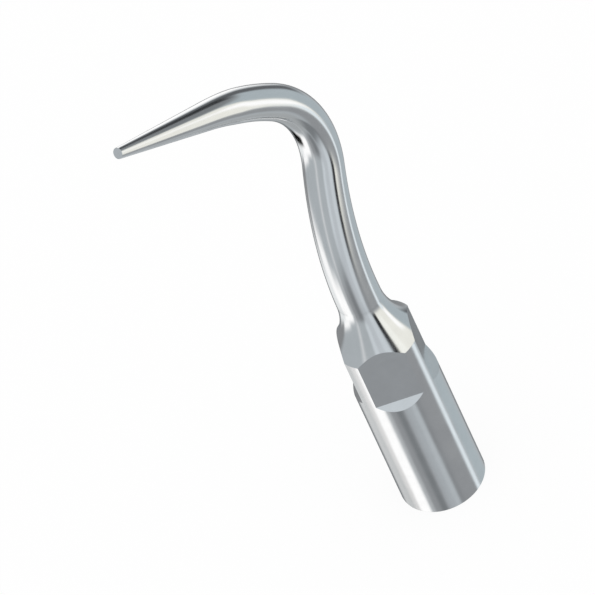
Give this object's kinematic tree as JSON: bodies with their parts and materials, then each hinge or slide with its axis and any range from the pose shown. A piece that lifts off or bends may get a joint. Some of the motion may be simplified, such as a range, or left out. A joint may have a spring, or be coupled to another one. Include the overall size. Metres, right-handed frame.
{
  "type": "piezo ultrasonic scaler tip",
  "caption": "Screw-on piezo scaler tip: round socket collar with wrench flats and a flared shoulder, bent tapered round shank and a slim blunt working end.",
  "frame": {"origin": "centre of the socket's mouth, on the seat ring that meets the handpiece", "axes": "+Z along the collar's axis from the seat towards the shank; the shank is bent in the XZ plane and its working end reaches towards -X"},
  "size_m": [0.0111, 0.004, 0.0327],
  "materials": {
    "collar_steel": "polished stainless steel",
    "shank_steel": "mirror-polished stainless steel"
  },
  "bodies": {
    "root": {"threaded_collar": "collar_steel", "curved_shank": "shank_steel"}
  },
  "joints": []
}
